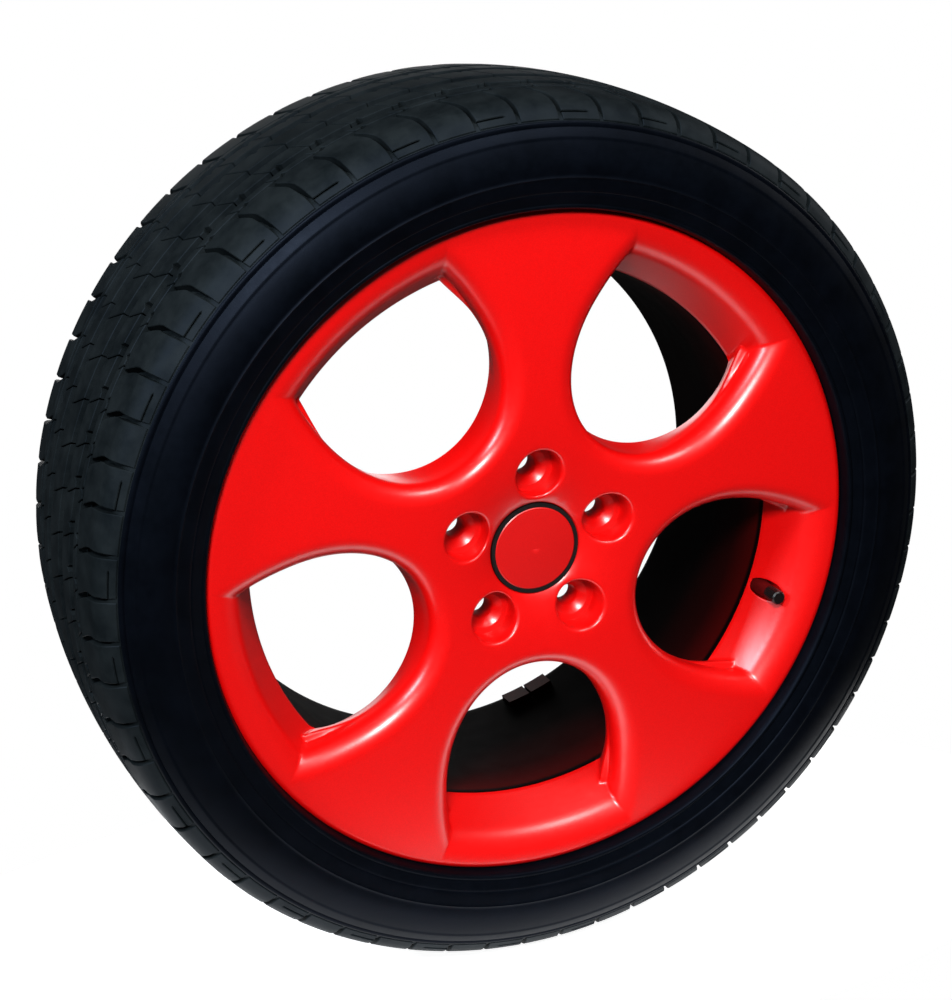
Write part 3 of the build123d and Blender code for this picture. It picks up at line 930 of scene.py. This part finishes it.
def shoulder_block(side, hooked):
    """Outline of a shoulder block, with the thin hook that every other block carries."""
    inner, outer, half = 56.5, 104.0, 1.9
    left = [(groove_line(w) + half - 0.5 * ease(w, 80, 104), w) for w in np.linspace(inner, outer, 11)]
    right = [(s + GAP - 2 * half + 1.0 * ease(w, 80, 104), w) for s, w in left]
    hook = []
    if hooked:
        s0 = left[-2][0]
        hook = [(s0, 97.8), (s0 + 19.0, 97.8), (s0 + 20.0, 98.3), (s0 + 19.0, 98.8), (s0, 98.8)]
        left = left[:-2] + [(left[-2][0], 97.2)]
    steps = [(right[0][0] - 3.0, inner - 1.6), (left[0][0] + 10.0, inner - 1.6), (left[0][0] + 8.0, inner)]
    points = right + [(left[0][0] + GAP - 6.0, outer)] + [(groove_line(outer) + half, outer)]
    points += hook[::-1] + left[::-1] + steps[::-1]
    return place_side(points, side)


def place_side(points, side):
    """Outline in (s, w), turned over for the inboard shoulder."""
    if side > 0:
        return points
    return [(-s, -w) for s, w in points]


def rib_block(inner, outer, lean, sipe, side, notch=0.0):
    """Part of a circumferential rib between two slanted sipes, with an optional notch in its outer edge."""
    half = sipe / 2
    points = [(half, inner), (GAP - half, inner), (GAP - half + lean, outer)]
    if notch:
        points += [(lean + 9.0, outer), (lean + 6.5, outer - notch), (lean + 4.2, outer)]
    points += [(half + lean, outer)]
    return place_side(points, side)


def tread_shell():
    """The tread: a ring at the grooves' floor that carries separate blocks."""
    tile = Shell()
    for side in (1, -1):
        block(tile, shoulder_block(side, True))
        block(tile, [(s + GAP * side, w) for s, w in shoulder_block(side, False)])
        for shift in (0, GAP * side):
            for points in (
                rib_block(47.0, 53.8, 5.0, 1.4, side, 3.0),
                rib_block(22.0, 38.5, 8.0, 1.2, side, 4.0),
            ):
                block(tile, [(s + shift, w) for s, w in points])
    for shift in (0, GAP):
        block(tile, [(s + shift, w) for s, w in rib_block(-11.5, 11.5, 10.0, 1.2, 1, 3.5)])
    points = np.array(tile.points)
    shell = Shell()
    for number in range(PITCHES // 2):
        turn = 2 * pi * number / (PITCHES // 2)
        c, s = cos(turn), sin(turn)
        turned = np.stack([points[:, 0] * c - points[:, 2] * s, points[:, 1],
                           points[:, 0] * s + points[:, 2] * c], axis=1)
        start = len(shell.points)
        shell.points.extend(map(tuple, turned))
        shell.faces.extend(tuple(i + start for i in f) for f in tile.faces)
        shell.paints.extend(tile.paints)
    outline = [surface(w, tread_floor(w)) for w in np.arange(-108.0, 108.1, 3.0)]
    outline += [surface(w, 10.5) for w in (108.0, 90.0, 60.0, 0.0, -60.0, -90.0, -108.0)]
    ring_mesh(shell, outline, 384)
    return shell


def tread_floor(w):
    """Depth of the tread's floor: full between the blocks, shallow where the shoulder meets the sidewall."""
    return TREAD_DEPTH - (TREAD_DEPTH - 0.9) * ease(abs(w), 86, 103.5)


def sidewall_shell(side):
    """Sidewall from the shoulder to the rim strip, with its ribs and lines."""
    outline = []
    last = OUTLINE_W[-1]
    for w in np.arange(105.0, last, 0.9):
        height = 0.0
        height -= 1.1 * bump_at(w, 108.4, 0.9)
        height += 0.5 * bump_at(w, 106.2, 1.0)
        height -= 0.5 * ease(w, 116.5, 118.0) - 0.5 * ease(w, 141, 143)
        height += 0.45 * bump_at(w, 143.0, 0.8)
        height -= 0.5 * bump_at(w, 153.5, 0.8)
        outline.append(surface(w * side, -height))
    inner = [surface(w * side, 4.5) for w in np.arange(last - 1, 104, -6)]
    shell = Shell()
    ring_mesh(shell, outline + inner, 384)
    return shell


def bump_at(w, centre, half):
    """A smooth bump of height one."""
    distance = abs(w - centre) / half
    return max(0.0, 1 - distance ** 2) ** 2


def chafer_shell(side):
    """Rim strip: the rib that shields the flange, and the bead's foot on the rim."""
    outer = smooth_path([(244.9, 104.8), (243.4, 105.4), (241.8, 104.9), (240.6, 102.4), (239.9, 98.8),
                         (239.4, 95.2)], 5)
    outline = [tuple(p) for p in outer]
    outline += [(238.2, 93.4), (228.3, 88.8), (219.6, 88.7), (218.5, 84.5), (217.5, 72.5), (226, 73.0)]
    outline += [(235, 79.0), (244.9, 92.0)]
    shell = Shell()
    ring_mesh(shell, [(r, y * side) for r, y in outline], 320)
    return shell


# ================================================================ assemble

red = red_paint("red_paint")
# near-black coat for the barrel and the disc's back, partly painted shade
dark = barrel_coat_and_painted_shade()
tread_rubber = rubber("tread_rubber", (0.0032, 0.0046, 0.0052), (0.0080, 0.0105, 0.0115), (0.48, 0.62))
side_rubber = rubber("sidewall_rubber", (0.0005, 0.0008, 0.0015), (0.0010, 0.0015, 0.0028), (0.40, 0.52))

casting = make_object("wheel_casting_visual", wheel_shell(), [red, dark])
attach(casting, "wheel")
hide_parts("wheel_casting")

tread = make_object("tread_visual", tread_shell(), [tread_rubber], 30)
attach(tread, "wheel")
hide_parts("tread")

for side, place in ((-1, "outboard"), (1, "inboard")):
    wall = make_object("sidewall_visual_" + place, sidewall_shell(side), [side_rubber], 40)
    strip = make_object("chafer_visual_" + place, chafer_shell(side), [side_rubber], 40)
    for piece, node in ((wall, "sidewall_"), (strip, "chafer_")):
        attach(piece, "wheel")
        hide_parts(node + place)

NODE_MATERIALS = {
    # cap disc: a darker, rougher copy of the red paint; the darkening is painted shade
    "centre_cap_disc": red_paint("disc_red_with_painted_shade", 0.84, 0.36),
    "centre_cap_body": plastic("black_plastic", (0.002, 0.0015, 0.0015), (0.004, 0.003, 0.003)),
    "valve_cap": plastic("cap_plastic", (0.002, 0.001, 0.001), (0.005, 0.002, 0.002), (0.3, 0.45)),
    "valve_body": rubber("valve_rubber", (0.05, 0.0015, 0.0015), (0.10, 0.003, 0.003), (0.4, 0.55), 1500),
    "valve_cap_seal": rubber("seal_rubber", (0.02, 0.02, 0.02), (0.03, 0.03, 0.03)),
    "valve_stem": metal("brass_stem", (0.60, 0.40, 0.14), (0.76, 0.54, 0.22)),
    "valve_core_housing": metal("brass_core", (0.62, 0.42, 0.16), (0.74, 0.54, 0.24)),
    "valve_core_pin": metal("pin_steel", (0.45, 0.45, 0.46), (0.6, 0.6, 0.61)),
    "valve_core_spring": metal("spring_wire", (0.4, 0.4, 0.41), (0.55, 0.55, 0.56)),
    "centre_cap_ring": metal("ring_wire", (0.42, 0.42, 0.43), (0.56, 0.56, 0.57)),
    # balance weights: zinc given a dark red colour, which is painted shade with a painted red reflection of
    # the casting
    "balance_weights": metal("zinc_weight_painted_shade_and_reflection", (0.03, 0.004, 0.004), (0.06, 0.008, 0.008), (0.35, 0.5)),
    "balance_weight_tape": rubber("tape_foam", (0.012, 0.004, 0.004), (0.02, 0.006, 0.006), (0.8, 0.9)),
    "cap_ply": corded("cap_ply_cord", (0.02, 0.02, 0.02), (0.16, 0.14, 0.12), 1400, 0.0),
    "carcass_ply": corded("carcass_cord", (0.02, 0.02, 0.02), (0.14, 0.12, 0.10), 1200, 1.5),
    "belt_outer": corded("belt_cord_outer", (0.02, 0.02, 0.02), (0.30, 0.27, 0.22), 900, 0.4),
    "belt_inner": corded("belt_cord_inner", (0.02, 0.02, 0.02), (0.30, 0.27, 0.22), 900, -0.4),
    "inner_liner": rubber("liner_rubber", (0.010, 0.010, 0.011), (0.016, 0.016, 0.017)),
    "bead_core_outboard": metal("bead_wire_outboard", (0.35, 0.28, 0.18), (0.5, 0.4, 0.28)),
    "bead_core_inboard": metal("bead_wire_inboard", (0.35, 0.28, 0.18), (0.5, 0.4, 0.28)),
    "bead_filler_outboard": rubber("filler_outboard", (0.018, 0.018, 0.018), (0.026, 0.026, 0.026)),
    "bead_filler_inboard": rubber("filler_inboard", (0.018, 0.018, 0.018), (0.026, 0.026, 0.026)),
}
for node, material in NODE_MATERIALS.items():
    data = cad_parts[node].data
    data.materials.clear()
    data.materials.append(material)
    data.shade_smooth()
    data.set_sharp_from_angle(angle=radians(30))

# ================================================================ camera, floor and light

CAMERA_AZIMUTH, CAMERA_ELEVATION = radians(-22.746), radians(19.0245)
CAMERA_DISTANCE = 1.5976
CAMERA_SLIDE = (-0.00768, 0.00760)
LENS = 78.96
FLOOR_HALF = (0.50, 0.24)
FLOOR_GLOW = 0.95
BACKDROP_GLOW, WORLD_GLOW = 1.0, 0.05

back = Vector((sin(CAMERA_AZIMUTH) * cos(CAMERA_ELEVATION), -cos(CAMERA_AZIMUTH) * cos(CAMERA_ELEVATION),
               sin(CAMERA_ELEVATION)))
right = Vector((cos(CAMERA_AZIMUTH), sin(CAMERA_AZIMUTH), 0))
up = back.cross(right)
camera = bpy.data.objects.new("camera", bpy.data.cameras.new("camera"))
camera.data.lens = LENS
camera.data.sensor_width = 36
camera.location = back * CAMERA_DISTANCE + right * CAMERA_SLIDE[0] + up * CAMERA_SLIDE[1]
camera.rotation_euler = Matrix((right, up, back)).transposed().to_euler()
bpy.context.collection.objects.link(camera)
bpy.context.scene.camera = camera


def floor():
    """Pale floor just big enough for the wheel, so that it does not mirror in the upright faces;
    the world around it looks as white as the floor."""
    low = cad_box[0][2]
    n = Nodes("pale_floor")
    n.set(Specular_IOR_Level=0.0, Emission_Color=(1, 1, 1, 1), Emission_Strength=FLOOR_GLOW)
    material = n.finish(n.ramp(n.noise(3, 2), (0.93, 0.93, 0.93), (0.95, 0.95, 0.95)),
                        n.span(n.noise(20, 2), 0.8, 0.9))
    mesh = bpy.data.meshes.new("floor")
    turns = np.arange(0, 2 * pi, pi / 48)
    rim = [(FLOOR_HALF[0] * cos(turn), FLOOR_HALF[1] * sin(turn), low) for turn in turns]
    mesh.from_pydata(rim, [], [list(range(len(rim)))])
    mesh.materials.append(material)
    obj = bpy.data.objects.new("floor", mesh)
    bpy.context.collection.objects.link(obj)


def area_light(name, place, aim, size, power, tint=(1, 1, 1)):
    """Rectangular light of a size in metres, facing the point that it is aimed at."""
    light = bpy.data.lights.new(name, "AREA")
    light.shape = "RECTANGLE"
    light.size, light.size_y = size
    light.energy = power
    light.color = tint
    obj = bpy.data.objects.new(name, light)
    obj.location = place
    obj.rotation_euler = (Vector(aim) - Vector(place)).to_track_quat("-Z", "Y").to_euler()
    bpy.context.collection.objects.link(obj)


floor()
area_light("key", (-0.86, -1.66, 1.34), (0, 0, 0), (0.45, 0.40), 67)
area_light("top", (0.45, -0.90, 1.70), (0, 0, 0), (0.7, 0.3), 18)
area_light("left", (-1.90, -0.50, 1.15), (0, 0, 0), (0.25, 0.7), 34, (0.80, 0.90, 1.0))
area_light("right", (2.00, 0.20, 1.00), (0, 0, 0), (0.8, 1.0), 8)
area_light("back", (0.50, 2.30, 0.10), (0, 0, 0), (1.2, 1.0), 9)
bpy.context.scene.view_settings.view_transform = "Standard"


def studio():
    """White behind everything, and a dim even light from all round."""
    world = bpy.data.worlds.new("studio")
    bpy.context.scene.world = world
    world.use_nodes = True
    tree = world.node_tree
    path = tree.nodes.new("ShaderNodeLightPath")
    strength = tree.nodes.new("ShaderNodeMapRange")
    strength.inputs["To Min"].default_value = WORLD_GLOW
    strength.inputs["To Max"].default_value = BACKDROP_GLOW
    tree.links.new(path.outputs["Is Camera Ray"], strength.inputs["Value"])
    tree.links.new(strength.outputs["Result"], tree.nodes["Background"].inputs["Strength"])
    tree.nodes["Background"].inputs["Color"].default_value = (1, 1, 1, 1)


studio()
